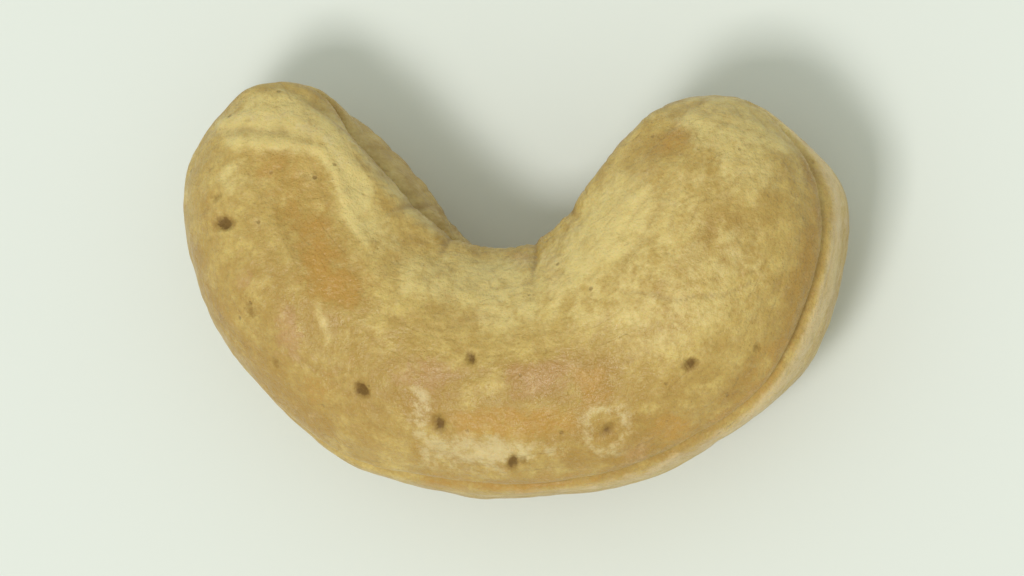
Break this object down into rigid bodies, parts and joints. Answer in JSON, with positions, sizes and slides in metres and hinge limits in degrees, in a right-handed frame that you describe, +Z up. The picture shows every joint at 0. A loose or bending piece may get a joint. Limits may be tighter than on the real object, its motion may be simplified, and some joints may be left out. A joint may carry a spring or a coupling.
{
  "type": "roasted cashew kernel",
  "caption": "Whole kidney-shaped roasted cashew kernel lying on its flank, with a seam crease round its edge and a grooved concave side.",
  "frame": {"origin": "middle of the kernel's bounding box in plan, at the surface that it rests on", "axes": "+X from the narrow lobe to the plump lobe, +Y the way the concave side faces, +Z up from the flank that it lies on"},
  "size_m": [0.0272, 0.017, 0.0111],
  "materials": {
    "roasted_flesh": "dry roasted nut flesh, golden tan with ochre patches, satin where it is smooth"
  },
  "bodies": {
    "root": {"cashew_kernel": "roasted_flesh"}
  },
  "joints": []
}
